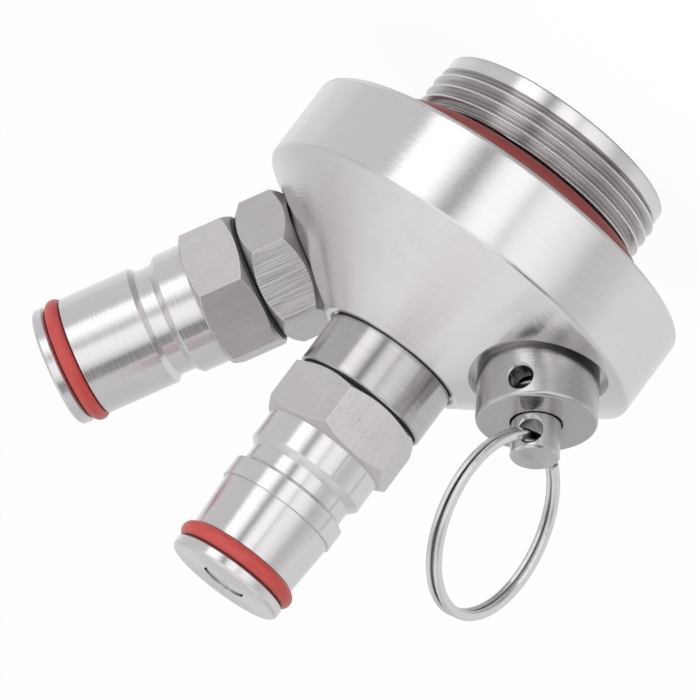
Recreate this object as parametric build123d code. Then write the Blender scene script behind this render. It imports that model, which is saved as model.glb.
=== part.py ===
from build123d import *
import os
from math import cos, radians, sin, sqrt, tan

# Stainless cleaning adapter for a small screw-top keg, in millimetres.
# The frame's origin is the centre of the neck's tip, +Z runs up through the centre post,
# the side post leans towards +X and the relief valve towards -X.

# Head
FLANGE_RADIUS = 30.5
FLANGE_THICKNESS = 12.3
FLANGE_ROUND = 0.9
NECK_LENGTH = 13.8
PILOT_RADIUS = 18.05
PILOT_LENGTH = 2.2
PILOT_CHAMFER = 0.2
THREAD_RADIUS = 18.55
RELIEF_RADIUS = 17.6
RELIEF_LENGTH = 4.5
NECK_BORE_RADIUS = 15.0
NECK_BORE_CHAMFER = 0.6
HEAD_WALL = 9.3
CONE_TOP_RADIUS = 11.2
DOME_TOP_RADIUS = 7.5
PORT_TILT = 35.0
PORT_CROSSING_HEIGHT = 1.8
CENTRE_SPOT_DEPTH = 0.45
CENTRE_SPOT_MARGIN = 0.45
SIDE_SPOT_MARGIN = 0.2
SIDE_SPOT_DEPTH = 2.2
RELIEF_SPOT_RADIUS = 9.65
RELIEF_SPOT_DEPTH = 1.6

# Clearances: screwed joints, rubber against metal, sliding pieces
SCREW_CLEARANCE = 0.05
SEAL_CLEARANCE = 0.05
SLIDE_CLEARANCE = 0.25

# Neck seal
NECK_SEAL_SECTION = 4.1

# Adapters under the posts
HEX_ACROSS_FLATS = 19.05
HEX_CORNER_SLOPE = 30.0
ADAPTER_STUB_RADIUS = 6.6
ADAPTER_SPIGOT_RADIUS = 7.1
ADAPTER_SPIGOT_LENGTH = 9.5
ADAPTER_SPIGOT_CHAMFER = 0.5
ADAPTER_PASSAGE_RADIUS = 3.1
SPRING_POCKET_DEPTH = 0.8
GASKET_THICKNESS = 0.3
GASKET_INSET = 0.35
COLLAR_RADIUS = 10.0
COLLAR_HEIGHT = 7.95
COLLAR_CHAMFER = 0.25
NUT_HEIGHT = 8.1
NUT_GAP = 1.4
NUT_FACE_INSET = 0.55
NUT_CORNER_SLOPE = 40.0
NUT_CORNER_ANGLE = 14.0
NUT_NECK_RADIUS = 7.6
NUT_SEAL_SECTION = 1.8

# Ball-lock posts, heights measured from the foot of the hex
POST_LENGTH = 31.4
POST_HEX_HEIGHT = 8.1
POST_HEX_FACE_INSET = 0.1
CENTRE_HEX_FACE_INSET = 0.6
CENTRE_HEX_CORNER_ANGLE = 8.0
SIDE_HEX_CORNER_ANGLE = 0.0
BAND_RADIUS = 8.95
GROOVE_RADIUS = 7.95
BAND_TOP = 12.3
BAND_SLOPE = 1.1
GROOVE_TOP = 15.6
SIDE_BARREL_RADIUS = 8.75
CENTRE_RIDGE_RADIUS = 8.95
CENTRE_RIDGE_HEIGHT = 2.9
CENTRE_RIDGE_SLOPE = 0.6
CENTRE_BARREL_FOOT_RADIUS = 8.65
CENTRE_BARREL_TIP_RADIUS = 8.2
LIP_RADIUS = 8.75
LIP_THICKNESS = 1.8
LIP_ROUND = 0.35
POST_SEAL_SECTION = 2.62
POST_SEAL_SEAT = 6.75
POST_SOCKET_DEPTH = 12.0
CHAMBER_RADIUS = 5.6
TIP_HOLE_RADIUS = 3.3
TIP_HOLE_LENGTH = 1.5

# Spring-loaded plug inside each post
POPPET_HEAD_THICKNESS = 1.6
POPPET_HEAD_SINK = 0.25
POPPET_NECK_RADIUS = 2.25
POPPET_SEAL_SECTION = 1.9
POPPET_GUIDE_THICKNESS = 1.3
POPPET_GUIDE_NOTCH = 2.4
POPPET_NOTCH_DEPTH = 1.5
POPPET_TAIL_RADIUS = 2.7
POPPET_TAIL_LENGTH = 3.0
POPPET_TAIL_CHAMFER = 0.5
POPPET_SPRING_RADIUS = 3.75
POPPET_SPRING_WIRE = 0.9
POPPET_SPRING_TURNS = 5

# Relief valve
RELIEF_BODY_RADIUS = 8.45
RELIEF_STANDOUT = 6.6
RELIEF_BODY_ROUND = 0.6
RELIEF_STUB_RADIUS = 6.3
RELIEF_STUB_LENGTH = 7.0
RELIEF_CHAMBER_RADIUS = 5.0
RELIEF_END_WALL = 1.5
VENT_RADIUS = 1.75
VENT_DEPTH = 3.0
VENT_CHAMFER = 0.35
VENT_ANGLE = -91.5
SEAT_INSERT_HEIGHT = 2.4
SEAT_HOLE_RADIUS = 2.2
SEAT_LIP_WIDTH = 0.6
SEAT_LIP_HEIGHT = 0.5
STEM_RADIUS = 3.45
STEM_STANDOUT = 5.4
STEM_COLLAR_THICKNESS = 1.5
STEM_END_CHAMFER = 0.3
STEM_HOLE_RADIUS = 1.77
STEM_HOLE_CHAMFER = 0.5
STEM_HOLE_HEIGHT = 2.55
STEM_HOLE_ANGLE = -95.0
VALVE_DISC_RADIUS = 3.9
VALVE_DISC_THICKNESS = 1.0
RELIEF_SPRING_WIRE = 0.7
RELIEF_SPRING_TURNS = 4

# Split ring, and how it hangs in the stem's hole
RING_OUTER_RADIUS = 13.85
RING_RADIAL_WIDTH = 1.4
RING_COIL_THICKNESS = 0.82
RING_COIL_ROUND = 0.38
RING_COIL_GAP = 0.06
RING_SPLAY = 0.45
RING_STEP_PLACE = 198.0
RING_STEP_ANGLE = 22.0
RING_SWING = -30.5
RING_LEAN = 6.5
RING_YAW = 13.0
RING_SLACK_OUT = -0.26
RING_SLACK_ACROSS = 0.16

# Hose barb inside the neck
BARB_SHANK_RADIUS = 3.6
BARB_SHANK_LENGTH = 1.2
BARB_VALLEY_RADIUS = 3.3
BARB_RIDGE_RADIUS = 4.3
BARB_RIDGE_PITCH = 3.2
BARB_RIDGES = 3
BARB_HEX_ACROSS_FLATS = 12.0
BARB_HEX_HEIGHT = 4.0
BARB_BORE_RADIUS = 2.4
BARB_STUB_LENGTH = 4.0

# Heights and distances that follow from the sizes above
TILT = radians(PORT_TILT)
FLANGE_TOP = NECK_LENGTH + FLANGE_THICKNESS
HEAD_TOP = FLANGE_TOP + (FLANGE_RADIUS - CONE_TOP_RADIUS) * tan(TILT)
DOME_TOP = FLANGE_TOP + (FLANGE_RADIUS - DOME_TOP_RADIUS) * tan(TILT) - HEAD_WALL / cos(TILT)
DOME_EDGE = DOME_TOP - (NECK_BORE_RADIUS - DOME_TOP_RADIUS) * tan(TILT)
CENTRE_FLOOR = HEAD_TOP - CENTRE_SPOT_DEPTH
SIDE_SPOT_RADIUS = HEX_ACROSS_FLATS / 2 / cos(radians(30)) + SIDE_SPOT_MARGIN
CONE_REACH = cos(TILT) * (FLANGE_TOP - PORT_CROSSING_HEIGHT) + sin(TILT) * FLANGE_RADIUS
DOME_REACH = cos(TILT) * (DOME_TOP - PORT_CROSSING_HEIGHT) + sin(TILT) * DOME_TOP_RADIUS
SIDE_FLOOR = CONE_REACH - SIDE_SPOT_DEPTH
RELIEF_FLOOR = CONE_REACH - RELIEF_SPOT_DEPTH
ADAPTER_BORE_RADIUS = ADAPTER_STUB_RADIUS + SCREW_CLEARANCE
POST_SOCKET_RADIUS = ADAPTER_SPIGOT_RADIUS + SCREW_CLEARANCE
CENTRE_SEAT = CENTRE_FLOOR + GASKET_THICKNESS + COLLAR_HEIGHT + GASKET_THICKNESS
SIDE_SEAT = SIDE_FLOOR + NUT_GAP + NUT_HEIGHT + GASKET_THICKNESS
RELIEF_HEIGHT = RELIEF_SPOT_DEPTH + RELIEF_STANDOUT
RELIEF_CHAMBER_TOP = RELIEF_HEIGHT - RELIEF_END_WALL

SIDE_PORT = Location((0, 0, PORT_CROSSING_HEIGHT), (0, PORT_TILT, 0))
RELIEF_PORT = Location((0, 0, PORT_CROSSING_HEIGHT), (0, -PORT_TILT, 0))


def turned(points):
    """A solid turned about Z from (radius, height) points."""
    outline = Polyline(*[(r, 0, z) for r, z in points], close=True)
    return revolve(make_face(outline), Axis.Z, 360)


def rod(radius, low, high):
    return Pos(0, 0, low) * Cylinder(radius, high - low, align=(Align.CENTER, Align.CENTER, Align.MIN))


def seal_ring(inner_radius, section, height):
    """A round-section rubber ring whose middle lies at the given height."""
    return Pos(0, 0, height) * Torus(inner_radius + section / 2, section / 2)


def washer(inner_radius, outer_radius, low, thickness):
    return rod(outer_radius, low, low + thickness) - rod(inner_radius, low, low + thickness)


def turned_hex(across_flats, low, high, low_inset, high_inset, corner_angle, corner_slope=HEX_CORNER_SLOPE):
    """A hexagonal bar with its corners turned down at a slope, from a round face at each end.

    An inset is how far the round face lies inside the flats.
    """
    flat_radius = across_flats / 2
    corner_radius = flat_radius / cos(radians(30))
    prism = Pos(0, 0, low) * extrude(RegularPolygon(corner_radius, 6, rotation=corner_angle), high - low)
    reach = corner_radius + 1
    slope = tan(radians(corner_slope))
    low_face = flat_radius - low_inset
    high_face = flat_radius - high_inset
    envelope = turned(
        [
            (0, low),
            (low_face, low),
            (reach, low + (reach - low_face) * slope),
            (reach, high - (reach - high_face) * slope),
            (high_face, high),
            (0, high),
        ]
    )
    return prism & envelope


def coil_spring(mean_radius, wire, low, high, turns):
    """A round-wire coil spring that stands from low to high."""
    rise = high - low - wire
    path = Helix(pitch=rise / turns, height=rise, radius=mean_radius)
    section = Plane(origin=path @ 0, z_dir=path % 0) * Circle(wire / 2)
    return Pos(0, 0, low + wire / 2) * sweep(section, path=path, is_frenet=True)


def head_body():
    outer = turned(
        [
            (0, 0),
            (PILOT_RADIUS - PILOT_CHAMFER, 0),
            (PILOT_RADIUS, PILOT_CHAMFER),
            (PILOT_RADIUS, PILOT_LENGTH),
            (THREAD_RADIUS, PILOT_LENGTH + THREAD_RADIUS - PILOT_RADIUS),
            (THREAD_RADIUS, NECK_LENGTH - RELIEF_LENGTH - THREAD_RADIUS + RELIEF_RADIUS),
            (RELIEF_RADIUS, NECK_LENGTH - RELIEF_LENGTH),
            (RELIEF_RADIUS, NECK_LENGTH),
            (FLANGE_RADIUS, NECK_LENGTH),
            (FLANGE_RADIUS, FLANGE_TOP),
            (CONE_TOP_RADIUS, HEAD_TOP),
            (0, HEAD_TOP),
        ]
    )
    rims = outer.edges().filter_by(GeomType.CIRCLE).filter_by(lambda edge: edge.radius > FLANGE_RADIUS - 0.1)
    outer = fillet(rims, FLANGE_ROUND)
    cavity = turned(
        [
            (0, 0),
            (NECK_BORE_RADIUS + NECK_BORE_CHAMFER, 0),
            (NECK_BORE_RADIUS, NECK_BORE_CHAMFER),
            (NECK_BORE_RADIUS, DOME_EDGE),
            (DOME_TOP_RADIUS, DOME_TOP),
            (0, DOME_TOP),
        ]
    )
    centre_spot = rod(COLLAR_RADIUS + CENTRE_SPOT_MARGIN, CENTRE_FLOOR, HEAD_TOP + 1)
    centre_bore = rod(ADAPTER_BORE_RADIUS, DOME_TOP - 1, HEAD_TOP)
    side_cut = rod(SIDE_SPOT_RADIUS, SIDE_FLOOR, CONE_REACH + 10)
    side_cut += rod(ADAPTER_BORE_RADIUS, DOME_REACH - 3, CONE_REACH)
    relief_cut = rod(RELIEF_SPOT_RADIUS, RELIEF_FLOOR, CONE_REACH + 10)
    relief_cut += rod(RELIEF_STUB_RADIUS + SCREW_CLEARANCE, DOME_REACH - 3, CONE_REACH)
    return outer - cavity - centre_spot - centre_bore - SIDE_PORT * side_cut - RELIEF_PORT * relief_cut


def neck_seal():
    middle = NECK_LENGTH - SEAL_CLEARANCE - NECK_SEAL_SECTION / 2
    return seal_ring(RELIEF_RADIUS + SEAL_CLEARANCE, NECK_SEAL_SECTION, middle)


def adapter_spigot(seat):
    """The male end that screws into a post, with a pocket for the foot of the spring."""
    top = seat + ADAPTER_SPIGOT_LENGTH
    return turned(
        [
            (0, seat),
            (ADAPTER_SPIGOT_RADIUS, seat),
            (ADAPTER_SPIGOT_RADIUS, top - ADAPTER_SPIGOT_CHAMFER),
            (ADAPTER_SPIGOT_RADIUS - ADAPTER_SPIGOT_CHAMFER, top),
            (0, top),
        ]
    )


def adapter_passage(low, seat):
    """The flow passage and the spring's pocket, cut through an adapter."""
    top = seat + ADAPTER_SPIGOT_LENGTH
    pocket_radius = POPPET_SPRING_RADIUS + POPPET_SPRING_WIRE / 2 + SLIDE_CLEARANCE
    passage = rod(ADAPTER_PASSAGE_RADIUS, low - 1, top + 1)
    return passage + rod(pocket_radius, top - SPRING_POCKET_DEPTH, top + 1)


def centre_collar():
    low = CENTRE_FLOOR + GASKET_THICKNESS
    high = low + COLLAR_HEIGHT
    body = turned(
        [
            (0, low),
            (COLLAR_RADIUS - COLLAR_CHAMFER, low),
            (COLLAR_RADIUS, low + COLLAR_CHAMFER),
            (COLLAR_RADIUS, high - COLLAR_CHAMFER),
            (COLLAR_RADIUS - COLLAR_CHAMFER, high),
            (0, high),
        ]
    )
    stub = rod(ADAPTER_STUB_RADIUS, DOME_TOP, low)
    socket = rod(BARB_SHANK_RADIUS + SCREW_CLEARANCE, DOME_TOP - 1, DOME_TOP + BARB_STUB_LENGTH)
    return body + stub + adapter_spigot(high) - adapter_passage(DOME_TOP, high) - socket


def centre_collar_gasket():
    return washer(
        ADAPTER_STUB_RADIUS + SEAL_CLEARANCE, COLLAR_RADIUS - GASKET_INSET, CENTRE_FLOOR, GASKET_THICKNESS
    )


def post_gasket(seat):
    return washer(
        ADAPTER_SPIGOT_RADIUS + SEAL_CLEARANCE,
        HEX_ACROSS_FLATS / 2 - GASKET_INSET,
        seat - GASKET_THICKNESS,
        GASKET_THICKNESS,
    )


def side_hex_adapter():
    low = SIDE_FLOOR + NUT_GAP
    high = low + NUT_HEIGHT
    nut = turned_hex(
        HEX_ACROSS_FLATS, low, high, NUT_FACE_INSET, NUT_FACE_INSET, NUT_CORNER_ANGLE, NUT_CORNER_SLOPE
    )
    neck = rod(NUT_NECK_RADIUS, SIDE_FLOOR, low)
    seal_groove = washer(
        NUT_NECK_RADIUS - NUT_SEAL_SECTION / 2, NUT_NECK_RADIUS + 1, SIDE_FLOOR - 1, NUT_GAP / 2 + 1
    )
    stub = rod(ADAPTER_STUB_RADIUS, DOME_REACH, SIDE_FLOOR)
    return nut + (neck - seal_groove) + stub + adapter_spigot(high) - adapter_passage(DOME_REACH, high)


def side_adapter_seal():
    inner = NUT_NECK_RADIUS - NUT_SEAL_SECTION / 2 + SEAL_CLEARANCE
    height = NUT_GAP / 2 - 2 * SEAL_CLEARANCE
    return washer(inner, inner + NUT_SEAL_SECTION, SIDE_FLOOR + SEAL_CLEARANCE, height)


def post_shell(hex_part, barrel_points):
    """A post: its hex, then the turned barrel, hollowed for the adapter and the plug."""
    lip_foot = POST_LENGTH - LIP_THICKNESS
    seal_foot = lip_foot - POST_SEAL_SECTION + 2 * SEAL_CLEARANCE
    barrel_tip_radius = barrel_points[-1][0]
    barrel = turned(
        [(0, POST_HEX_HEIGHT)]
        + barrel_points[:-1]
        + [
            (barrel_tip_radius, seal_foot),
            (POST_SEAL_SEAT, seal_foot),
            (POST_SEAL_SEAT, lip_foot),
            (LIP_RADIUS - LIP_ROUND, lip_foot),
            (LIP_RADIUS, lip_foot + LIP_ROUND),
            (LIP_RADIUS, POST_LENGTH - LIP_ROUND),
            (LIP_RADIUS - LIP_ROUND, POST_LENGTH),
            (0, POST_LENGTH),
        ]
    )
    hole_foot = POST_LENGTH - TIP_HOLE_LENGTH
    chamber = turned(
        [
            (0, 0),
            (POST_SOCKET_RADIUS, 0),
            (POST_SOCKET_RADIUS, POST_SOCKET_DEPTH),
            (CHAMBER_RADIUS, POST_SOCKET_DEPTH + POST_SOCKET_RADIUS - CHAMBER_RADIUS),
            (CHAMBER_RADIUS, hole_foot - CHAMBER_RADIUS + TIP_HOLE_RADIUS),
            (TIP_HOLE_RADIUS, hole_foot),
            (TIP_HOLE_RADIUS, POST_LENGTH),
            (0, POST_LENGTH),
        ]
    )
    return hex_part + barrel - chamber


def centre_post_body():
    foot = turned_hex(
        HEX_ACROSS_FLATS,
        0,
        POST_HEX_HEIGHT,
        POST_HEX_FACE_INSET,
        CENTRE_HEX_FACE_INSET,
        CENTRE_HEX_CORNER_ANGLE,
    )
    ridge_foot = GROOVE_TOP + CENTRE_RIDGE_SLOPE
    ridge_top = ridge_foot + CENTRE_RIDGE_HEIGHT
    barrel = [
        (BAND_RADIUS, POST_HEX_HEIGHT),
        (BAND_RADIUS, BAND_TOP),
        (GROOVE_RADIUS, BAND_TOP + BAND_SLOPE),
        (GROOVE_RADIUS, GROOVE_TOP),
        (CENTRE_RIDGE_RADIUS, ridge_foot),
        (CENTRE_RIDGE_RADIUS, ridge_top),
        (CENTRE_BARREL_FOOT_RADIUS, ridge_top),
        (CENTRE_BARREL_TIP_RADIUS, POST_LENGTH),
    ]
    return post_shell(foot, barrel)


def side_post_body():
    foot = turned_hex(
        HEX_ACROSS_FLATS,
        0,
        POST_HEX_HEIGHT,
        POST_HEX_FACE_INSET,
        POST_HEX_FACE_INSET,
        SIDE_HEX_CORNER_ANGLE,
    )
    barrel = [
        (BAND_RADIUS, POST_HEX_HEIGHT),
        (BAND_RADIUS, BAND_TOP),
        (GROOVE_RADIUS, BAND_TOP + BAND_SLOPE),
        (GROOVE_RADIUS, GROOVE_TOP),
        (SIDE_BARREL_RADIUS, GROOVE_TOP + SIDE_BARREL_RADIUS - GROOVE_RADIUS),
        (SIDE_BARREL_RADIUS, POST_LENGTH),
    ]
    return post_shell(foot, barrel)


def post_oring():
    middle = POST_LENGTH - LIP_THICKNESS - POST_SEAL_SECTION / 2 + SEAL_CLEARANCE
    return seal_ring(POST_SEAL_SEAT + SEAL_CLEARANCE, POST_SEAL_SECTION - 4 * SEAL_CLEARANCE, middle)


def poppet_seal_height():
    """Where the plug's seal just meets the 45 degree seat behind the tip hole."""
    ring_radius = POPPET_NECK_RADIUS + SEAL_CLEARANCE + POPPET_SEAL_SECTION / 2
    seat_line = TIP_HOLE_RADIUS + POST_LENGTH - TIP_HOLE_LENGTH
    return seat_line - ring_radius - sqrt(2) * (POPPET_SEAL_SECTION / 2 + SEAL_CLEARANCE)


def poppet_guide_top():
    return poppet_seal_height() - POPPET_SEAL_SECTION / 2 - SEAL_CLEARANCE


def poppet():
    """The plug: a flat head in the tip hole, a notched guide disc and a tail inside the spring."""
    top = POST_LENGTH - POPPET_HEAD_SINK
    guide_top = poppet_guide_top()
    guide_foot = guide_top - POPPET_GUIDE_THICKNESS
    head_radius = TIP_HOLE_RADIUS - SLIDE_CLEARANCE
    guide_radius = CHAMBER_RADIUS - SLIDE_CLEARANCE
    plug = turned(
        [
            (0, guide_foot - POPPET_TAIL_LENGTH),
            (POPPET_TAIL_RADIUS - POPPET_TAIL_CHAMFER, guide_foot - POPPET_TAIL_LENGTH),
            (POPPET_TAIL_RADIUS, guide_foot - POPPET_TAIL_LENGTH + POPPET_TAIL_CHAMFER),
            (POPPET_TAIL_RADIUS, guide_foot),
            (guide_radius, guide_foot),
            (guide_radius, guide_top),
            (POPPET_NECK_RADIUS, guide_top),
            (POPPET_NECK_RADIUS, top - POPPET_HEAD_THICKNESS),
            (head_radius, top - POPPET_HEAD_THICKNESS + head_radius - POPPET_NECK_RADIUS),
            (head_radius, top),
            (0, top),
        ]
    )
    notch = Pos(guide_radius, 0, guide_foot) * Box(
        2 * POPPET_NOTCH_DEPTH,
        POPPET_GUIDE_NOTCH,
        3 * POPPET_GUIDE_THICKNESS,
    )
    for turn in range(4):
        plug -= Rot(0, 0, 90 * turn) * notch
    return plug


def poppet_seal():
    return seal_ring(POPPET_NECK_RADIUS + SEAL_CLEARANCE, POPPET_SEAL_SECTION, poppet_seal_height())


def poppet_spring():
    low = ADAPTER_SPIGOT_LENGTH - SPRING_POCKET_DEPTH + SEAL_CLEARANCE
    high = poppet_guide_top() - POPPET_GUIDE_THICKNESS - SEAL_CLEARANCE
    return coil_spring(POPPET_SPRING_RADIUS, POPPET_SPRING_WIRE, low, high, POPPET_SPRING_TURNS)


def dip_hose_barb():
    """A barbed tail that screws up into the collar's stub, for the hose that reaches into the keg."""
    hex_top = DOME_TOP - SEAL_CLEARANCE
    hex_foot = hex_top - BARB_HEX_HEIGHT
    tail = [(0, hex_foot)]
    height = hex_foot
    tail.append((BARB_SHANK_RADIUS, height))
    height -= BARB_SHANK_LENGTH
    tail.append((BARB_SHANK_RADIUS, height))
    for _ in range(BARB_RIDGES):
        tail.append((BARB_RIDGE_RADIUS, height))
        height -= BARB_RIDGE_PITCH
        tail.append((BARB_VALLEY_RADIUS, height))
    tail.append((0, height))
    nut = turned_hex(BARB_HEX_ACROSS_FLATS, hex_foot, hex_top, POST_HEX_FACE_INSET, POST_HEX_FACE_INSET, 0)
    stub = rod(BARB_SHANK_RADIUS, hex_top, DOME_TOP + BARB_STUB_LENGTH - SEAL_CLEARANCE)
    return turned(tail) + nut + stub - rod(BARB_BORE_RADIUS, height - 1, HEAD_TOP)


def cross_drill(hole_radius, bar_radius, chamfer, angle):
    """A cutter for a hole right across a round bar, with a countersunk mouth at each end."""
    cutter = Cylinder(hole_radius, 2 * bar_radius + 2)
    for end in (0, 180):
        mouth = Cone(
            hole_radius,
            hole_radius + chamfer + 1,
            chamfer + 1,
            align=(Align.CENTER, Align.CENTER, Align.MIN),
        )
        cutter += Rot(end, 0, 0) * Pos(0, 0, bar_radius - chamfer) * mouth
    return Rot(0, 0, angle) * Rot(0, 90, 0) * cutter


def relief_body():
    """The valve's round housing, heights measured from the floor of its pocket in the head."""
    shell = turned(
        [
            (0, -RELIEF_STUB_LENGTH),
            (RELIEF_STUB_RADIUS, -RELIEF_STUB_LENGTH),
            (RELIEF_STUB_RADIUS, 0),
            (RELIEF_BODY_RADIUS, 0),
            (RELIEF_BODY_RADIUS, RELIEF_HEIGHT),
            (0, RELIEF_HEIGHT),
        ]
    )
    rim = shell.edges().filter_by(GeomType.CIRCLE).group_by(Axis.Z)[-1]
    shell = fillet(rim, RELIEF_BODY_ROUND)
    shell -= rod(RELIEF_CHAMBER_RADIUS, -RELIEF_STUB_LENGTH, RELIEF_CHAMBER_TOP)
    shell -= rod(STEM_RADIUS + SLIDE_CLEARANCE, 0, RELIEF_HEIGHT)
    vent_height = RELIEF_HEIGHT - VENT_DEPTH
    return shell - Pos(0, 0, vent_height) * cross_drill(
        VENT_RADIUS, RELIEF_BODY_RADIUS, VENT_CHAMFER, VENT_ANGLE
    )


def relief_seat():
    """The screwed-in ring whose raised lip the valve disc closes on."""
    low = -RELIEF_STUB_LENGTH
    top = low + SEAT_INSERT_HEIGHT
    lip_radius = SEAT_HOLE_RADIUS + SEAT_LIP_WIDTH
    outer = RELIEF_CHAMBER_RADIUS - SCREW_CLEARANCE
    return turned(
        [
            (SEAT_HOLE_RADIUS, low),
            (outer, low),
            (outer, top),
            (lip_radius, top),
            (lip_radius, top + SEAT_LIP_HEIGHT),
            (SEAT_HOLE_RADIUS, top + SEAT_LIP_HEIGHT),
        ]
    )


def valve_disc_foot():
    return -RELIEF_STUB_LENGTH + SEAT_INSERT_HEIGHT + SEAT_LIP_HEIGHT + SEAL_CLEARANCE


def relief_disc():
    foot = valve_disc_foot()
    return rod(VALVE_DISC_RADIUS, foot, foot + VALVE_DISC_THICKNESS)


def stem_collar_top():
    return valve_disc_foot() + VALVE_DISC_THICKNESS + STEM_COLLAR_THICKNESS


def pull_stem():
    foot = valve_disc_foot() + VALVE_DISC_THICKNESS
    top = RELIEF_HEIGHT + STEM_STANDOUT
    collar_radius = RELIEF_CHAMBER_RADIUS - SLIDE_CLEARANCE
    stem = turned(
        [
            (0, foot),
            (collar_radius, foot),
            (collar_radius, stem_collar_top()),
            (STEM_RADIUS, stem_collar_top()),
            (STEM_RADIUS, top - STEM_END_CHAMFER),
            (STEM_RADIUS - STEM_END_CHAMFER, top),
            (0, top),
        ]
    )
    hole = cross_drill(STEM_HOLE_RADIUS, STEM_RADIUS, STEM_HOLE_CHAMFER, STEM_HOLE_ANGLE)
    return stem - Pos(0, 0, RELIEF_HEIGHT + STEM_HOLE_HEIGHT) * hole


def ring_hinge():
    """The cross hole's own frame: its Z runs along the hole, its X out along the stem."""
    height = RELIEF_HEIGHT + STEM_HOLE_HEIGHT
    along_hole = Vector(1, 0, 0).rotate(Axis.Z, STEM_HOLE_ANGLE)
    return Plane(origin=(0, 0, height), x_dir=(0, 0, 1), z_dir=along_hole).location


def relief_spring():
    mean_radius = (STEM_RADIUS + RELIEF_CHAMBER_RADIUS) / 2
    low = stem_collar_top() + SEAL_CLEARANCE
    high = RELIEF_CHAMBER_TOP - SEAL_CLEARANCE
    return coil_spring(mean_radius, RELIEF_SPRING_WIRE, low, high, RELIEF_SPRING_TURNS)


def split_ring():
    """One wire wound into two coils that spread apart a little away from the hinge on the -X side."""
    radius = RING_OUTER_RADIUS - RING_RADIAL_WIDTH / 2
    offset = (RING_COIL_THICKNESS + RING_COIL_GAP) / 2
    start = RING_STEP_PLACE + RING_STEP_ANGLE / 2
    coil = 360 - RING_STEP_ANGLE
    arc = Pos(radius, 0, 0) * CenterArc((0, 0), radius, start, coil)
    lower = Pos(-radius, 0, -offset) * Rot(0, RING_SPLAY, 0) * arc
    upper = Pos(-radius, 0, offset) * Rot(0, -RING_SPLAY, 0) * arc
    step = Spline(lower @ 1, upper @ 0, tangents=[lower % 1, upper % 0])
    section = RectangleRounded(RING_RADIAL_WIDTH, RING_COIL_THICKNESS, RING_COIL_ROUND)
    outward = Vector(1, 0, 0).rotate(Axis.Z, start)
    start_plane = Plane(origin=lower @ 0, x_dir=outward, z_dir=lower % 0)
    return sweep(start_plane * section, path=Wire([lower, step, upper]))


def ring_rest():
    """The hanging ring's own frame at its centre, with Z along its axis."""
    reach = RING_OUTER_RADIUS - RING_RADIAL_WIDTH / 2 + RING_SLACK_OUT
    turned_out = Rot(0, 0, RING_SWING) * Rot(RING_LEAN, 0, 0) * Rot(0, RING_YAW, 0)
    return ring_hinge() * turned_out * Pos(reach, RING_SLACK_ACROSS, 0) * Rot(90, 0, 0)


def write_parts():
    centre = Pos(0, 0, CENTRE_SEAT)
    side = SIDE_PORT * Pos(0, 0, SIDE_SEAT)
    relief = RELIEF_PORT * Pos(0, 0, RELIEF_FLOOR)
    nodes = {
        "head_body": head_body(),
        "neck_seal": neck_seal(),
        "dip_hose_barb": dip_hose_barb(),
        "centre_collar_gasket": centre_collar_gasket(),
        "centre_collar": centre_collar(),
        "centre_post_gasket": post_gasket(CENTRE_SEAT),
        "centre_post_body": centre * centre_post_body(),
        "centre_post_oring": centre * post_oring(),
        "centre_poppet": centre * poppet(),
        "centre_poppet_seal": centre * poppet_seal(),
        "centre_poppet_spring": centre * poppet_spring(),
        "side_hex_adapter": SIDE_PORT * side_hex_adapter(),
        "side_adapter_seal": SIDE_PORT * side_adapter_seal(),
        "side_post_gasket": SIDE_PORT * post_gasket(SIDE_SEAT),
        "side_post_body": side * side_post_body(),
        "side_post_oring": side * post_oring(),
        "side_poppet": side * poppet(),
        "side_poppet_seal": side * poppet_seal(),
        "side_poppet_spring": side * poppet_spring(),
        "relief_body": relief * relief_body(),
        "relief_seat": relief * relief_seat(),
        "relief_disc": relief * relief_disc(),
        "relief_spring": relief * relief_spring(),
        "pull_stem": relief * pull_stem(),
        "pull_ring": relief * ring_rest() * split_ring(),
    }
    os.makedirs("parts", exist_ok=True)
    for name, solid in nodes.items():
        export_step(solid, os.path.join("parts", name + ".step"))


write_parts()
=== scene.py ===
from math import atan2, ceil, cos, degrees, pi, radians, sin

import bmesh
import bpy
from mathutils import Matrix, Vector


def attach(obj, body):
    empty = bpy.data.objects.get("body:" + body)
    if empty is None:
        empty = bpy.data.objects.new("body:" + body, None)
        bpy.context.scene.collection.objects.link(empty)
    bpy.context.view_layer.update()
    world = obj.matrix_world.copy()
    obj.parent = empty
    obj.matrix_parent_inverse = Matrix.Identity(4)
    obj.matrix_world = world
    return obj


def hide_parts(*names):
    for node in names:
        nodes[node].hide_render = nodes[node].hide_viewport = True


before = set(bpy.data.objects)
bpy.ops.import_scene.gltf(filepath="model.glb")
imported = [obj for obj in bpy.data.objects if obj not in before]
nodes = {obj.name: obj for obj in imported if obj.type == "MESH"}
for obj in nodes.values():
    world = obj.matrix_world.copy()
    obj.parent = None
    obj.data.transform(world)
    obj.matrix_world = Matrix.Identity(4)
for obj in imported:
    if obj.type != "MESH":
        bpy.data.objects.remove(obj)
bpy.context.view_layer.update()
MM = 0.001

# Sizes and places shared with the solids, in millimetres, and the ports' tilts in degrees
PORT_CROSSING = (0.0, 0.0, 1.8)
PORT_TILT = 35.0
CENTRE_AXIS = 0.0
SIDE_AXIS = PORT_TILT
RELIEF_AXIS = -PORT_TILT
NECK_LENGTH = 13.8
PILOT_RADIUS = 18.05
PILOT_TOP = 2.2
THREAD_TOP = 9.3
THREAD_RELIEF_RADIUS = 17.6
CENTRE_POST_FOOT = 45.91
SIDE_POST_FOOT = 45.0
POST_HEX_HEIGHT = 8.1
# Cosine of half a flat's angle round a hexagon, and how far the finish blurs over the corner
HEX_CORNER_FACING = 0.865
HEX_CORNER_BLUR = 0.01
# How near to a height counts as on it
NEAR = 0.01

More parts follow.
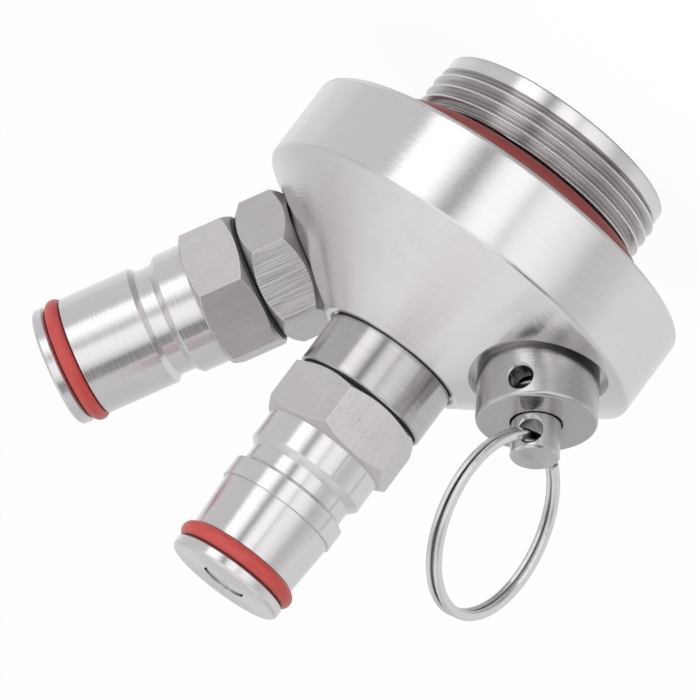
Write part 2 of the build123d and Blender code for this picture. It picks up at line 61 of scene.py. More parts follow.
# Thread of the neck, its run-out, the rows of its mesh and the join to the solid
THREAD_CREST_RADIUS = 18.55
THREAD_DEPTH = 1.02
THREAD_PITCH = 1.8
THREAD_CREST_HEIGHT = 5.2
THREAD_CREST_ANGLE = -123.0
THREAD_CREST_WIDTH = 0.14
THREAD_ROOT_WIDTH = 0.22
THREAD_END_SLOPE = 2.0
THREAD_ROWS_PER_PITCH = 18
THREAD_SEAM = 0.05
THREAD_ZONE_MARGIN = 0.1
WELD_DISTANCE = 0.0001
SHARP_ANGLE = 35.0
KEPT_NORMAL = "kept_normal"

# Depths below the crest: a painted highlight down to the first, dull from the second, painted shade darker
# below the third
CREST_BRIGHT = 0.04
CREST_DULL = 0.16
FLANK_PALE = 0.3

# Squeeze that draws noise out into lines: round a turned piece, and along a drawn bar
TURNED_SQUEEZE = 0.045
DRAWN_SQUEEZE = 0.012
# Turn of the anisotropic highlight against the tangent, in whole turns
QUARTER_TURN = 0.25
EDGE_SAMPLES = 4
GAP_SHADE_SAMPLES = 6

# Angle round the angled port of the nut's flat that carries deep lines
NUT_LINED_FLAT = -136.0

# Faint milled arcs on the cone: their middle, their pitch, how far they wander, and the distances
# from the middle at which they begin, are full, start to fade and end
SWIRL_MIDDLE = (-1.6, -23.4, 29.6)
SWIRL_PITCH = 0.42
SWIRL_WANDER = 9.0
SWIRL_BEGINS = 1.2
SWIRL_FULL = 3.0
SWIRL_FADES = 5.0
SWIRL_ENDS = 10.0

# Painted shadow of the thread on the neck's ring: the heights above the thread where it is thick and where
# it ends
THREAD_SHADOW_THICK = 0.6
THREAD_SHADOW_ENDS = 3.4
THREAD_SHADOW_TINT = (0.09, 0.03, 0.03, 1.0)

# Darkest and lightest tint of each rubber, and how much paler its dust is in red, green and blue
RED_RUBBER = ((0.39, 0.04, 0.034, 1.0), (0.47, 0.062, 0.055, 1.0))
BLACK_RUBBER = ((0.018, 0.018, 0.02, 1.0), (0.035, 0.035, 0.037, 1.0))
DUST_GAIN = (1.5, 1.6, 1.6)
DUST_LIFT = (0.05, 0.06, 0.06)

# The photograph's camera: where it stands round the part, how it is rolled and how long its lens is
CAMERA_AZIMUTH = -33.0
CAMERA_ELEVATION = 12.71
CAMERA_ROLL = 216.97
CAMERA_DISTANCE = 1000.0
CAMERA_ASIDE = -20.90
CAMERA_RAISED = -18.94
CAMERA_NEAREST = 50.0
CAMERA_FARTHEST = 20000.0
PHOTO_WIDTH = 700
FOCAL_LENGTH_PIXELS = 7161.0
SENSOR_WIDTH = 36.0

# The tent's brightness, and the level that the camera sees instead of it
TENT_LEVEL = 0.98
WHITE = 1.0
# Levels of the tent's panels in its lower and its upper part, by the angle round from the camera
PANELS = (
    (-180, 1.02), (-150, 0.97), (-100, 1.03), (-84, 1.03), (-70, 0.86), (-54, 0.8), (-48, 0.98),
    (-40, 1.22), (-26, 1.45), (-16, 1.4), (-8, 1.1), (-2, 1.55), (7, 1.6), (14, 1.4), (19, 0.85),
    (24, 0.45), (28, 0.75), (32, 1.2), (38, 1.65), (46, 2.0), (59, 1.9), (62, 0.86), (84, 0.86),
    (112, 0.86), (122, 0.97), (140, 1.0), (152, 1.1), (180, 1.02),
)
UPPER_PANELS = (
    (-180, 0.94), (-60, 0.94), (-52, 0.7), (-46, 0.03), (-24, 0.03), (-19, 0.95), (-8, 1.5), (-2, 1.75),
    (34, 1.7), (60, 1.35), (75, 1.0), (180, 1.0),
)
# By the sine of the height above the horizon: the share of the upper panels, how much of the panels
# shows, and the level of the surround
UPPER_SHARE = ((-1.0, 0.0), (0.2, 0.0), (0.42, 1.0), (1.0, 1.0))
PANEL_REACH = (
    (-1.0, 0.0), (-0.8, 0.1), (-0.55, 0.9), (-0.4, 1.0), (0.45, 1.0), (0.65, 0.7), (0.85, 0.0), (1.0, 0.0),
)
SURROUND = (
    (-1.0, 0.5), (-0.75, 0.8), (-0.5, 1.06), (-0.22, 1.0), (0.0, 0.95), (0.3, 0.86), (0.65, 0.86),
    (0.9, 1.1), (1.0, 1.16),
)

# The sheet under the part, its shade, and how white the camera sees it
FLOOR_RADIUS = 5000.0
FLOOR_SIDES = 64
FLOOR_BELOW = 0.05
FLOOR_SHADE = 0.82
FLOOR_WHITENESS = 0.95

# Lamps: name, place, width and power in watts, all aimed at one point
LAMPS = (
    ("key", (-450, -500, 520), 380, 3.0),
    ("fill", (520, -420, 300), 420, 1.4),
)
LAMP_AIM = (0, 0, 30)

# Places of the colour sockets of a Mix node, whose names repeat
MIX_FIRST_COLOUR = 6
MIX_SECOND_COLOUR = 7
MIX_COLOUR_RESULT = 2


def grey(level, red=0.0, blue=0.0):
    """A neutral colour, or one a little redder or bluer than grey."""
    return (level * (1 + red), level, level * (1 + blue), 1.0)


def axis_direction(tilt):
    """The direction of a port's axis."""
    return (sin(radians(tilt)), 0.0, cos(radians(tilt)))


class Graph:
    """The node tree of a material or a world, with short calls that add nodes and link them."""

    def __init__(self, owner):
        owner.use_nodes = True
        self.tree = owner.node_tree
        self.tree.nodes.clear()

    def add(self, kind, **settings):
        node = self.tree.nodes.new(kind)
        for key, value in settings.items():
            setattr(node, key, value)
        return node

    def put(self, socket, value):
        """Links another node's output to a socket, or writes a plain value into it."""
        if isinstance(value, bpy.types.NodeSocket):
            self.tree.links.new(value, socket)
        elif value is not None:
            socket.default_value = value

    def fill(self, node, values):
        """Puts values into a node's first sockets, in their order."""
        for socket, value in zip(node.inputs, values):
            self.put(socket, value)

    def assign(self, node, **values):
        """Puts values into sockets by name, in which an underscore stands for a space."""
        for key, value in values.items():
            self.put(node.inputs[key.replace("_", " ")], value)

    def math(self, operation, *values):
        node = self.add("ShaderNodeMath", operation=operation)
        self.fill(node, values)
        return node.outputs["Value"]

    def product(self, first, *others):
        for other in others:
            first = self.math("MULTIPLY", first, other)
        return first

    def vector(self, operation, *values):
        node = self.add("ShaderNodeVectorMath", operation=operation)
        self.fill(node, values)
        return node.outputs["Value" if operation in ("LENGTH", "DOT_PRODUCT") else "Vector"]

    def combine(self, x, y, z):
        node = self.add("ShaderNodeCombineXYZ")
        self.fill(node, (x, y, z))
        return node.outputs["Vector"]

    def split(self, vector):
        node = self.add("ShaderNodeSeparateXYZ")
        self.put(node.inputs["Vector"], vector)
        return node.outputs

    def blend(self, share, first, second):
        """The first colour, with a share of the second."""
        node = self.add("ShaderNodeMix", data_type="RGBA")
        self.put(node.inputs["Factor"], share)
        self.put(node.inputs[MIX_FIRST_COLOUR], first)
        self.put(node.inputs[MIX_SECOND_COLOUR], second)
        return node.outputs[MIX_COLOUR_RESULT]

    def spread(self, value, low, high, first, last):
        """Runs from first to last while the value runs from low to high."""
        node = self.add("ShaderNodeMapRange")
        self.fill(node, (value, low, high, first, last))
        return node.outputs["Result"]

    def fade(self, value, start, end, most=1.0):
        """Nothing where the value is at start, growing to most where it is at end."""
        return self.spread(value, low=start, high=end, first=0.0, last=most)

    def ramp(self, value, stops):
        """A level read off (place, level) stops, for a value from 0 to 1."""
        node = self.add("ShaderNodeValToRGB")
        self.put(node.inputs["Fac"], value)
        elements = node.color_ramp.elements
        for end, (place, level) in zip((elements[0], elements[1]), (stops[0], stops[-1])):
            end.position = place
            end.color = grey(level)
        for place, level in stops[1:-1]:
            elements.new(place).color = grey(level)
        return node.outputs["Color"]


class Finish(Graph):
    """A material with one Principled shader, and the calls that several finishes share.

    Lengths are in millimetres.
    """

    def __init__(self, name):
        self.material = bpy.data.materials.new(name)
        super().__init__(self.material)
        self.shader = self.add("ShaderNodeBsdfPrincipled")
        output = self.add("ShaderNodeOutputMaterial")
        self.put(output.inputs["Surface"], self.shader.outputs["BSDF"])

    def set(self, **values):
        self.assign(self.shader, **values)

    def place(self):
        """The point on the surface."""
        node = self.add("ShaderNodeVectorMath", operation="SCALE")
        self.assign(node, Vector=self.add("ShaderNodeTexCoord").outputs["Object"], Scale=1 / MM)
        return node.outputs["Vector"]

    def noise(self, vector, scale, detail, roughness=0.5):
        node = self.add("ShaderNodeTexNoise")
        self.assign(node, Vector=vector, Scale=scale, Detail=detail, Roughness=roughness)
        return node.outputs["Fac"]

    def broken_edge(self, width):
        """A normal that rolls over sharp edges, so that they catch the light."""
        node = self.add("ShaderNodeBevel", samples=EDGE_SAMPLES)
        self.put(node.inputs["Radius"], width * MM)
        return node.outputs["Normal"]

    def worn_edge(self, width):
        """1 along the sharp edges and 0 away from them."""
        normal = self.add("ShaderNodeNewGeometry").outputs["Normal"]
        agreement = self.vector("DOT_PRODUCT", self.broken_edge(width), normal)
        return self.fade(agreement, start=0.99, end=0.93)

    # Painted shade: ambient occlusion darkens the colour itself in narrow gaps
    def painted_gap_shade(self, tint, reach, depth, clear=0.8):
        """The tint with painted shade in narrow gaps: untouched where the share of open sky is clear or
        more.
        """
        node = self.add("ShaderNodeAmbientOcclusion", samples=GAP_SHADE_SAMPLES)
        self.put(node.inputs["Distance"], reach * MM)
        shade = self.fade(node.outputs["AO"], start=clear, end=0.1, most=depth)
        return self.blend(shade, tint, grey(0.03))

    def bump(self, height, strength, depth, normal=None):
        node = self.add("ShaderNodeBump")
        self.assign(node, Height=height, Strength=strength, Distance=depth * MM, Normal=normal)
        return node.outputs["Normal"]


def axis_coordinates(finish, tilt):
    """The point on the surface, turned so that Z runs along a port's axis."""
    node = finish.add("ShaderNodeVectorRotate", rotation_type="Y_AXIS")
    finish.assign(node, Vector=finish.place(), Center=PORT_CROSSING, Angle=-radians(tilt))
    return node.outputs["Vector"]


def axis_radius(finish, local):
    """Distance from a port's axis."""
    x, y, z = finish.split(local)
    return finish.vector("LENGTH", finish.combine(x, y, 0.0))


def lathe_lines(finish, local):
    """Fine noise drawn out into short lines round a port's axis."""
    x, y, z = finish.split(local)
    lines = finish.combine(
        finish.math("MULTIPLY", x, TURNED_SQUEEZE),
        finish.math("MULTIPLY", y, TURNED_SQUEEZE),
        finish.math("SUBTRACT", z, axis_radius(finish, local)),
    )
    return finish.noise(lines, scale=3.6, detail=3.0, roughness=0.65)


def drawn_lines(finish, local):
    """Noise drawn out into lines along a port's axis."""
    x, y, z = finish.split(local)
    lines = finish.combine(x, y, finish.math("MULTIPLY", z, DRAWN_SQUEEZE))
    return finish.noise(lines, scale=8.5, detail=3.0, roughness=0.7)


def ring_tangent(finish, tilt):
    """The direction round a port's axis, for finishes whose grain runs in rings."""
    offset = finish.vector("SUBTRACT", finish.place(), PORT_CROSSING)
    around = finish.vector("CROSS_PRODUCT", axis_direction(tilt), offset)
    turn = finish.add(
        "ShaderNodeVectorTransform", vector_type="VECTOR", convert_from="OBJECT", convert_to="WORLD"
    )
    finish.put(turn.inputs["Vector"], around)
    return finish.vector("NORMALIZE", turn.outputs["Vector"])


def turned_steel(
    name, tilt, tone=0.78, red=0.04, blue=0.015, grooves=0.9, lines=0.05, holes=False, marks=None
):
    """Stainless steel from a lathe: fine lines round the axis that fray the edges of its highlights.

    Gaps get painted shade, and a piece with cross-drilled holes deeper painted shade inside them. Marks
    add to the tint.
    """
    finish = Finish(name)
    local = axis_coordinates(finish, tilt)
    fine = lathe_lines(finish, local)
    cloud = finish.noise(local, scale=0.22, detail=3.0)
    specks = finish.noise(local, scale=5.5, detail=1.0)
    dull = grey(tone * 0.97, red, blue)
    bright = grey(tone * 1.03, red * 0.6, blue)
    line = grey(tone * 0.5, red, blue)
    speck = grey(tone * 0.45, red)
    tint = finish.blend(cloud, dull, bright)
    tint = finish.blend(finish.fade(fine, start=0.35, end=0.65, most=lines), tint, line)
    tint = finish.blend(finish.fade(specks, start=0.77, end=0.8, most=0.3), tint, speck)
    # Painted shade in the gaps, deeper inside cross-drilled holes
    if holes:
        tint = finish.painted_gap_shade(tint, reach=2.5, depth=0.95, clear=0.6)
    else:
        tint = finish.painted_gap_shade(tint, reach=1.5, depth=0.5)
    if marks:
        tint = marks(finish, local, tint)
    rough = finish.spread(cloud, low=0.3, high=0.7, first=0.16, last=0.2)
    normal = finish.bump(fine, strength=grooves, depth=0.04, normal=finish.broken_edge(0.12))
    finish.set(Base_Color=tint, Metallic=1.0, Roughness=rough, Normal=normal)
    finish.set(Anisotropic=0.9, Anisotropic_Rotation=QUARTER_TURN, Tangent=ring_tangent(finish, tilt))
    return finish.material


def milled_arcs(finish, local, tint):
    """The tint with faint arcs that a milling cutter left on the cone."""
    distance = finish.vector("LENGTH", finish.vector("SUBTRACT", local, SWIRL_MIDDLE))
    turns = finish.math("MULTIPLY", distance, 2 * pi / SWIRL_PITCH)
    wander = finish.math("MULTIPLY", finish.noise(local, scale=0.35, detail=1.0), SWIRL_WANDER)
    wave = finish.math("SINE", finish.math("ADD", turns, wander))
    share = finish.product(
        finish.fade(wave, start=-1.0, end=1.0),
        finish.fade(finish.noise(local, scale=0.3, detail=1.0), start=0.42, end=0.62, most=0.16),
        finish.fade(distance, start=SWIRL_BEGINS, end=SWIRL_FULL),
        finish.fade(distance, start=SWIRL_ENDS, end=SWIRL_FADES),
    )
    return finish.blend(share, tint, grey(0.45, red=0.04))


def threaded_steel(name):
    """The thread: dull flanks with painted shade darker towards the root, and a painted highlight on the
    crests.
    """
    finish = Finish(name)
    local = axis_coordinates(finish, CENTRE_AXIS)
    radius = axis_radius(finish, local)
    fine = lathe_lines(finish, local)
    crest = finish.fade(
        radius, start=THREAD_CREST_RADIUS - CREST_DULL, end=THREAD_CREST_RADIUS - CREST_BRIGHT
    )
    height = finish.fade(
        radius, start=THREAD_CREST_RADIUS - THREAD_DEPTH, end=THREAD_CREST_RADIUS - FLANK_PALE
    )
    # Painted shade, darker towards the root of the thread
    tint = finish.blend(height, grey(0.46, red=0.05), grey(0.74, red=0.04))
    tint = finish.blend(finish.fade(fine, start=0.35, end=0.65, most=0.35), tint, grey(0.32, red=0.05))
    # Painted highlight along the crests
    tint = finish.blend(crest, tint, grey(0.95))
    rough = finish.spread(crest, low=0.0, high=1.0, first=0.22, last=0.4)
    normal = finish.bump(fine, strength=0.4, depth=0.04)
    finish.set(Base_Color=tint, Metallic=1.0, Roughness=rough, Normal=normal)
    finish.set(Anisotropic=0.8, Anisotropic_Rotation=QUARTER_TURN)
    finish.set(Tangent=ring_tangent(finish, CENTRE_AXIS))
    return finish.material


def deep_on_flat(finish, local, flat, lines):
    """The strength of drawn lines that are deep on one flat, given by its angle, and faint elsewhere."""
    x, y, z = finish.split(local)
    outward = finish.vector("NORMALIZE", finish.combine(x, y, 0.0))
    facing = finish.vector("DOT_PRODUCT", outward, (cos(radians(flat)), sin(radians(flat)), 0.0))
    low = HEX_CORNER_FACING - HEX_CORNER_BLUR
    high = HEX_CORNER_FACING + HEX_CORNER_BLUR
    return finish.spread(facing, low=low, high=high, first=0.2 * lines, last=lines)


def brushed_hex(name, tilt, tone, lines, sand=0.5, pits=0.0, flat=None):
    """Hexagonal bar with drawn lines along its length, a sandy grain, a few pits and bright worn edges.

    Where a flat's angle is given, the lines are deep on that flat and faint on the others.
    """
    finish = Finish(name)
    local = axis_coordinates(finish, tilt)
    drawn = drawn_lines(finish, local)
    grit = finish.noise(local, scale=5.0, detail=3.0, roughness=0.7)
    cloud = finish.noise(local, scale=0.35, detail=2.0)
    spots = finish.noise(local, scale=2.6, detail=1.0)
    strength = lines if flat is None else deep_on_flat(finish, local, flat, lines)
    dark_line = finish.fade(drawn, start=0.52, end=0.58, most=finish.math("MULTIPLY", strength, 0.65))
    # Pale painted glints along some of the drawn lines
    painted_glint_line = finish.fade(drawn, start=0.45, end=0.4, most=finish.math("MULTIPLY", strength, 0.7))
    grain = finish.fade(grit, start=0.4, end=0.65, most=0.3 * sand)
    pit = finish.fade(spots, start=0.72, end=0.76, most=pits)
    worn = finish.math("MULTIPLY", finish.worn_edge(0.22), 0.8)
    tint = finish.blend(cloud, grey(tone * 0.95, 0.055, 0.015), grey(tone * 1.05, 0.04, 0.01))
    tint = finish.blend(dark_line, tint, grey(tone * 0.35, red=0.04))
    tint = finish.blend(painted_glint_line, tint, grey(0.9, red=0.02))
    tint = finish.blend(grain, tint, grey(tone * 0.45, red=0.04))
    tint = finish.blend(pit, tint, grey(tone * 0.3, red=0.02))
    tint = finish.blend(worn, tint, grey(0.92, red=0.02))
    # Painted shade in narrow gaps
    tint = finish.painted_gap_shade(tint, reach=2.0, depth=0.9)
    rough = finish.spread(drawn, low=0.25, high=0.75, first=0.3, last=0.42)
    profile = finish.math("ADD", finish.product(drawn, strength, 2.0), finish.product(grit, sand))
    normal = finish.bump(profile, strength=0.6, depth=0.03, normal=finish.broken_edge(0.18))
    finish.set(Base_Color=tint, Metallic=1.0, Roughness=rough, Normal=normal)
    finish.set(Anisotropic=0.5, Tangent=ring_tangent(finish, tilt))
    return finish.material


def polished_wire(name):
    """Bright wire with a faint waviness, a little haze and painted shade between the coils."""
    finish = Finish(name)
    place = finish.place()
    dust = finish.noise(place, scale=1.2, detail=3.0)
    haze = finish.noise(place, scale=3.0, detail=3.0)
    ripple = finish.noise(place, scale=2.0, detail=2.0)
    # Painted shade between the coils and in other narrow gaps
    tint = finish.painted_gap_shade(finish.blend(dust, grey(0.7), grey(0.8)), reach=0.7, depth=0.85)
    rough = finish.spread(haze, low=0.3, high=0.7, first=0.06, last=0.12)
    normal = finish.bump(ripple, strength=0.12, depth=0.02, normal=finish.broken_edge(0.42))
    finish.set(Base_Color=tint, Metallic=1.0, Roughness=rough, Normal=normal)
    return finish.material


def spring_wire(name):
    """Drawn spring wire, duller than the polished ring."""
    finish = Finish(name)
    drawn = finish.noise(finish.place(), scale=4.0, detail=4.0)
    tint = finish.blend(drawn, grey(0.48, red=0.01), grey(0.62, red=0.01))
    rough = finish.spread(drawn, low=0.3, high=0.7, first=0.25, last=0.4)
    normal = finish.bump(drawn, strength=0.2, depth=0.02)
    finish.set(Base_Color=tint, Metallic=1.0, Roughness=rough, Normal=normal)
    return finish.material


def moulded_rubber(name, dark, light, roughness, marks=None):
    """Moulded rubber: faint clouding, fine skin, a little dust, painted shade in gaps. Marks add to the
    tint.
    """
    finish = Finish(name)
    place = finish.place()
    cloud = finish.noise(place, scale=0.5, detail=3.0)
    skin = finish.noise(place, scale=9.0, detail=3.0, roughness=0.6)
    dust = finish.noise(place, scale=4.0, detail=2.0)
    dusty = [channel * gain + lift for channel, gain, lift in zip(light, DUST_GAIN, DUST_LIFT)]
    tint = finish.blend(cloud, dark, light)
    tint = finish.blend(finish.fade(dust, start=0.68, end=0.76, most=0.25), tint, (*dusty, 1.0))
    # Painted shade in narrow gaps, reaching far
    tint = finish.painted_gap_shade(tint, reach=5.0, depth=0.75)
    if marks:
        tint = marks(finish, place, tint)
    rough = finish.spread(skin, low=0.3, high=0.7, first=roughness - 0.05, last=roughness + 0.07)
    finish.set(Base_Color=tint, Roughness=rough, Normal=finish.bump(skin, strength=0.15, depth=0.02))
    return finish.material


def painted_thread_shadow(finish, place, tint):
    """The tint of the neck's ring, with a painted shadow where it meets the thread."""
    height = finish.split(place)["Z"]
    # Painted shadow, darkest next to the thread
    share = finish.fade(height, start=THREAD_TOP + THREAD_SHADOW_ENDS, end=THREAD_TOP + THREAD_SHADOW_THICK, most=0.7)
    return finish.blend(share, tint, THREAD_SHADOW_TINT)


def paint(node, material):
    """Gives a CAD node a material in place of the plain one."""
    materials = nodes[node].data.materials
    materials.clear()
    materials.append(material)


def paint_hex(node, tilt, foot, material):
    """Gives the hexagonal foot of a post a material of its own."""
    mesh = nodes[node].data
    mesh.materials.append(material)
    for face in mesh.polygons:
        height = (face.center / MM - Vector(PORT_CROSSING)).dot(Vector(axis_direction(tilt))) - foot
        if -NEAR < height < POST_HEX_HEIGHT + NEAR:
            face.material_index = 1


def dress_solids():
    """Gives every CAD node its material: some have one of their own, the rest share by kind or by port."""
    own = {
        "centre_collar": turned_steel(
            "collar_steel", CENTRE_AXIS, tone=0.55, red=0.05, blue=0.0, grooves=0.6, lines=0.15
        ),
        "pull_stem": turned_steel("stem_steel", RELIEF_AXIS, tone=0.66, grooves=0.6, holes=True),
        "pull_ring": polished_wire("ring_steel"),
        "side_hex_adapter": brushed_hex("nut_steel", SIDE_AXIS, tone=0.64, lines=1.0, flat=NUT_LINED_FLAT),
        "neck_seal": moulded_rubber("neck_red", *RED_RUBBER, roughness=0.32, marks=painted_thread_shadow),
    }
    spring_steel = spring_wire("spring_steel")
    red = moulded_rubber("red_silicone", *RED_RUBBER, roughness=0.32)
    black = moulded_rubber("black_rubber", *BLACK_RUBBER, roughness=0.5)
    side_steel = turned_steel("side_steel", SIDE_AXIS, tone=0.76, grooves=0.55)
    relief_steel = turned_steel(
        "relief_steel", RELIEF_AXIS, tone=0.55, grooves=0.6, lines=0.15, holes=True
    )
    centre_steel = turned_steel("centre_steel", CENTRE_AXIS, tone=0.76)
    for node in nodes:
        if node in own:
            paint(node, own[node])
        elif "spring" in node:
            paint(node, spring_steel)
        elif node.endswith("oring"):
            paint(node, red)
        elif "seal" in node or "gasket" in node or node == "relief_disc":
            paint(node, black)
        elif node.startswith("side"):
            paint(node, side_steel)
        elif node.startswith("relief"):
            paint(node, relief_steel)
        else:
            paint(node, centre_steel)
    centre_hex = brushed_hex("centre_hex", CENTRE_AXIS, tone=0.7, lines=0.15, sand=0.8, pits=0.6)
    side_hex = brushed_hex("side_hex", SIDE_AXIS, tone=0.63, lines=0.2, sand=0.6)
    paint_hex("centre_post_body", CENTRE_AXIS, CENTRE_POST_FOOT, centre_hex)
    paint_hex("side_post_body", SIDE_AXIS, SIDE_POST_FOOT, side_hex)


def thread_radius(height, angle):
    """Radius of the thread's surface at a height and an angle in degrees, with its run-out at each end."""
    phase = (height - THREAD_CREST_HEIGHT) / THREAD_PITCH - (angle - THREAD_CREST_ANGLE) / 360
    offset = abs(phase - round(phase)) * THREAD_PITCH
    flank = (THREAD_PITCH - THREAD_CREST_WIDTH - THREAD_ROOT_WIDTH) / 2
    descent = min(max((offset - THREAD_CREST_WIDTH / 2) / flank, 0), 1)
    radius = THREAD_CREST_RADIUS - descent * THREAD_DEPTH
    for end, end_radius in ((PILOT_TOP, PILOT_RADIUS), (THREAD_TOP, THREAD_RELIEF_RADIUS)):
        reach = THREAD_END_SLOPE * abs(height - end)
        radius = min(max(radius, end_radius - reach), end_radius + reach)
    return radius


def point_round(radius, angle, height):
    """A point on a circle round the neck, from an angle in degrees."""
    return Vector((radius * cos(radians(angle)), radius * sin(radians(angle)), height)) * MM


def keep_normals(mesh, source):
    """Writes the solid's normals on the corners of its faces."""
    layer = mesh.loops.layers.float_vector.new(KEPT_NORMAL)
    for polygon, face in zip(source.polygons, mesh.faces):
        for index, corner in zip(polygon.loop_indices, face.loops):
            corner[layer] = source.corner_normals[index].vector


def cut_thread_zone(mesh):
    """Takes out the plain faces between the pilot band and the groove above the thread."""

    def in_zone(vertex):
        height = vertex.co.z / MM
        radius = vertex.co.xy.length / MM
        at_height = PILOT_TOP - NEAR < height < THREAD_TOP + NEAR
        return at_height and radius > THREAD_RELIEF_RADIUS - THREAD_ZONE_MARGIN

    doomed = [face for face in mesh.faces if all(in_zone(vertex) for vertex in face.verts)]
    bmesh.ops.delete(mesh, geom=doomed, context="FACES")


def thread_columns(mesh, rim, top):
    """Vertices of the thread in columns, one over each rim vertex, in rows that follow the helix."""
    step = THREAD_PITCH / THREAD_ROWS_PER_PITCH
    rows = ceil((top - PILOT_TOP + THREAD_PITCH) / step)
    joined = step / 4
    columns = []
    for angle, low_vertex in rim:
        high_vertex = mesh.verts.new(point_round(THREAD_RELIEF_RADIUS, angle, top))
        column = []
        for row in range(rows + 1):
            height = PILOT_TOP - THREAD_PITCH + THREAD_PITCH * angle / 360 + row * step
            if height < PILOT_TOP + joined:
                column.append(low_vertex)
            elif height > top - joined or row == rows:
                column.append(high_vertex)
            else:
                column.append(mesh.verts.new(point_round(thread_radius(height, angle), angle, height)))
        columns.append(column)
    # The last column meets the first one turn higher up the thread
    first = columns[0]
    columns.append(first[THREAD_ROWS_PER_PITCH:] + [first[-1]] * THREAD_ROWS_PER_PITCH)
    return columns


def add_thread(mesh):
    """Fills the open zone of the neck with a helical strip whose rows follow the thread."""
    open_edges = [edge for edge in mesh.edges if edge.is_boundary]
    upper_rim = [edge for edge in open_edges if edge.verts[0].co.z / MM > THREAD_TOP - NEAR]
    lower_rim = {v for edge in open_edges for v in edge.verts if v.co.z / MM < PILOT_TOP + NEAR}
    lower = sorted((degrees(atan2(v.co.y, v.co.x)) % 360, v) for v in lower_rim)
    columns = thread_columns(mesh, lower, THREAD_TOP - THREAD_SEAM)
    for left, right in zip(columns, columns[1:]):
        for row in range(len(left) - 1):
            corners = list(dict.fromkeys((left[row], right[row], right[row + 1], left[row + 1])))
            if len(corners) > 2:
                mesh.faces.new(corners).material_index = 1
    strip_rim = [mesh.edges.get((left[-1], right[-1])) for left, right in zip(columns, columns[1:])]
    bmesh.ops.bridge_loops(mesh, edges=upper_rim + strip_rim)


def threaded_head():
    """The head with its plain thread zone cut out of the mesh and a helical thread put in its place.

    Every kept face keeps the normals of the solid.
    """
    source = nodes["head_body"].data
    mesh = bmesh.new()
    mesh.from_mesh(source)
    keep_normals(mesh, source)
    for face in mesh.faces:
        face.material_index = 0
    bmesh.ops.remove_doubles(mesh, verts=mesh.verts, dist=WELD_DISTANCE * MM)
    cut_thread_zone(mesh)
    add_thread(mesh)
    bmesh.ops.recalc_face_normals(mesh, faces=mesh.faces)
    data = bpy.data.meshes.new("head_threaded")
    mesh.to_mesh(data)
    mesh.free()
    data.shade_smooth()
    data.set_sharp_from_angle(angle=radians(SHARP_ANGLE))
    normals = [tuple(item.vector) for item in data.attributes[KEPT_NORMAL].data]
    data.attributes.remove(data.attributes[KEPT_NORMAL])
    data.normals_split_custom_set(normals)
    data.materials.append(turned_steel("head_steel", CENTRE_AXIS, marks=milled_arcs))
    data.materials.append(threaded_steel("thread_steel"))
    head = bpy.data.objects.new("head_threaded", data)
    bpy.context.scene.collection.objects.link(head)
    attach(head, "head")
    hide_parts("head_body")


def camera():
    azimuth, elevation, roll = (radians(a) for a in (CAMERA_AZIMUTH, CAMERA_ELEVATION, CAMERA_ROLL))
    back = Vector((sin(azimuth) * cos(elevation), -cos(azimuth) * cos(elevation), sin(elevation)))
    level = Vector((cos(azimuth), sin(azimuth), 0))
    upright = back.cross(level)
    right = level * cos(roll) + upright * sin(roll)
    up = upright * cos(roll) - level * sin(roll)
    target = Vector((0, 0, NECK_LENGTH))
    place = target + right * CAMERA_ASIDE + up * CAMERA_RAISED + back * CAMERA_DISTANCE
    data = bpy.data.cameras.new("camera")
    data.sensor_width = SENSOR_WIDTH
    data.lens = FOCAL_LENGTH_PIXELS / PHOTO_WIDTH * SENSOR_WIDTH
    data.clip_start = CAMERA_NEAREST * MM
    data.clip_end = CAMERA_FARTHEST * MM
    eye = bpy.data.objects.new("camera", data)
    turn = Matrix((right, up, back)).transposed().to_4x4()
    eye.matrix_world = Matrix.Translation(place * MM) @ turn
    bpy.context.scene.collection.objects.link(eye)
    bpy.context.scene.camera = eye


def by_angle(stops):
    """Stops by an angle from -180 to 180 degrees, placed from 0 to 1."""
    return [(angle / 360 + 0.5, level) for angle, level in stops]


def by_sine(stops):
    """Stops by a sine from -1 to 1, placed from 0 to 1."""
    return [(sine / 2 + 0.5, level) for sine, level in stops]


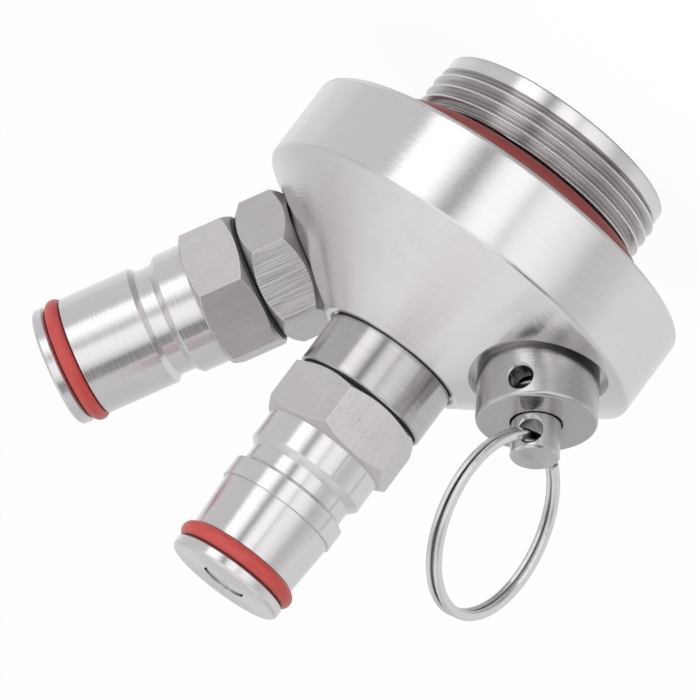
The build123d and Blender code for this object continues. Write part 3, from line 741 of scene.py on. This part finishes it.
def studio_world():
    """A light tent: a pale surround with brighter and darker panels round it."""
    world = bpy.data.worlds.new("tent")
    bpy.context.scene.world = world
    graph = Graph(world)
    turn = graph.add("ShaderNodeVectorRotate", rotation_type="Z_AXIS")
    direction = graph.add("ShaderNodeTexCoord").outputs["Generated"]
    graph.assign(turn, Vector=direction, Angle=radians(90 - CAMERA_AZIMUTH))
    x, y, z = graph.split(turn.outputs["Vector"])
    around = graph.math("MULTIPLY_ADD", graph.math("ARCTAN2", y, x), 1 / (2 * pi), 0.5)
    height = graph.math("MULTIPLY_ADD", z, 0.5, 0.5)
    lower = graph.ramp(around, by_angle(PANELS))
    upper = graph.ramp(around, by_angle(UPPER_PANELS))
    panels = graph.blend(graph.ramp(height, by_sine(UPPER_SHARE)), lower, upper)
    reach = graph.ramp(height, by_sine(PANEL_REACH))
    shown = graph.math("MULTIPLY_ADD", graph.math("SUBTRACT", panels, 1.0), reach, 1.0)
    level = graph.product(shown, graph.ramp(height, by_sine(SURROUND)), TENT_LEVEL)
    seen = graph.add("ShaderNodeLightPath").outputs["Is Camera Ray"]
    background = graph.add("ShaderNodeBackground")
    strength = graph.spread(seen, low=0.0, high=1.0, first=level, last=WHITE)
    graph.put(background.inputs["Strength"], strength)
    output = graph.add("ShaderNodeOutputWorld")
    graph.put(output.inputs["Surface"], background.outputs["Background"])


def floor_paper():
    """Pale paper that the camera sees as almost white, with the soft shadow on it."""
    material = bpy.data.materials.new("floor")
    graph = Graph(material)
    paper = graph.add("ShaderNodeBsdfDiffuse")
    graph.assign(paper, Color=grey(FLOOR_SHADE))
    light = graph.add("ShaderNodeEmission")
    graph.assign(light, Strength=WHITE)
    seen = graph.add("ShaderNodeLightPath").outputs["Is Camera Ray"]
    share = graph.math("MULTIPLY", seen, FLOOR_WHITENESS)
    mix = graph.add("ShaderNodeMixShader")
    graph.fill(mix, (share, paper.outputs["BSDF"], light.outputs["Emission"]))
    output = graph.add("ShaderNodeOutputMaterial")
    graph.put(output.inputs["Surface"], mix.outputs["Shader"])
    return material


def floor():
    """A round sheet just under the part."""
    mesh = bpy.data.meshes.new("floor")
    sheet = bmesh.new()
    bmesh.ops.create_circle(sheet, cap_ends=True, segments=FLOOR_SIDES, radius=FLOOR_RADIUS * MM)
    sheet.to_mesh(mesh)
    sheet.free()
    mesh.materials.append(floor_paper())
    ground = bpy.data.objects.new("floor", mesh)
    ground.location.z = -FLOOR_BELOW * MM
    ground.visible_glossy = False
    bpy.context.scene.collection.objects.link(ground)


def lamp(name, place, width, power):
    """A round lamp that lights the part but isn't seen, directly or in its gloss."""
    data = bpy.data.lights.new(name, "AREA")
    data.shape = "DISK"
    data.size = width * MM
    data.energy = power
    light = bpy.data.objects.new(name, data)
    light.location = Vector(place) * MM
    light.rotation_mode = "QUATERNION"
    light.rotation_quaternion = (Vector(LAMP_AIM) - Vector(place)).to_track_quat("-Z", "Y")
    light.visible_camera = False
    light.visible_glossy = False
    bpy.context.scene.collection.objects.link(light)


dress_solids()
threaded_head()
camera()
studio_world()
floor()
for name, place, width, power in LAMPS:
    lamp(name, place, width, power)

bpy.context.scene.view_settings.view_transform = "Standard"
